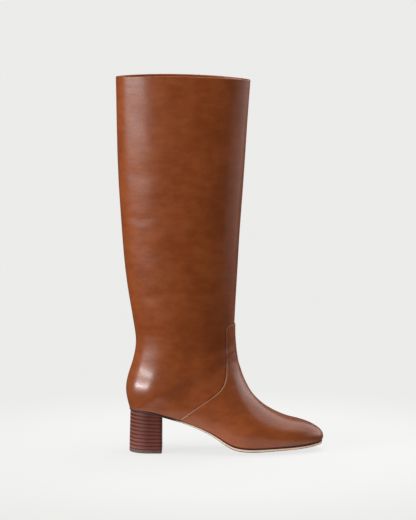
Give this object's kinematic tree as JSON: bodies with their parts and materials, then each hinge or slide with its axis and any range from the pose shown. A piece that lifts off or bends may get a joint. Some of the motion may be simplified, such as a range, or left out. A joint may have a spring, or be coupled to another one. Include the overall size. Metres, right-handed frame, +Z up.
{
  "type": "knee-high boot",
  "caption": "Knee-high leather boot for the right foot, with a straight pull-on shaft, a lapped vamp, a thin leather sole and a stacked block heel.",
  "frame": {"origin": "middle of the heel's face on the ground", "axes": "+Z up the shaft, +X towards the toe, +Y towards the inner side of the foot, so that the outer side looks along -Y"},
  "size_m": [0.2556, 0.0865, 0.4648],
  "materials": {
    "upper_leather": "smooth polished cognac calf leather, with soft broad highlights and a fine grain",
    "lining_leather": "matt tan lining leather",
    "sole_leather": "natural pale sole leather, satin, with a smoothed edge",
    "heel_stack": "dark brown stacked leather, waxed, with fine lighter and darker layers",
    "top_piece_rubber": "dull grey-brown rubber"
  },
  "bodies": {
    "root": {"upper": "upper_leather", "vamp": "upper_leather", "insole": "lining_leather", "outsole": "sole_leather", "heel_lift_01": "heel_stack", "heel_lift_02": "heel_stack", "heel_lift_03": "heel_stack", "heel_lift_04": "heel_stack", "heel_lift_05": "heel_stack", "heel_lift_06": "heel_stack", "heel_lift_07": "heel_stack", "heel_lift_08": "heel_stack", "heel_lift_09": "heel_stack", "heel_lift_10": "heel_stack", "top_piece": "top_piece_rubber"}
  },
  "joints": []
}
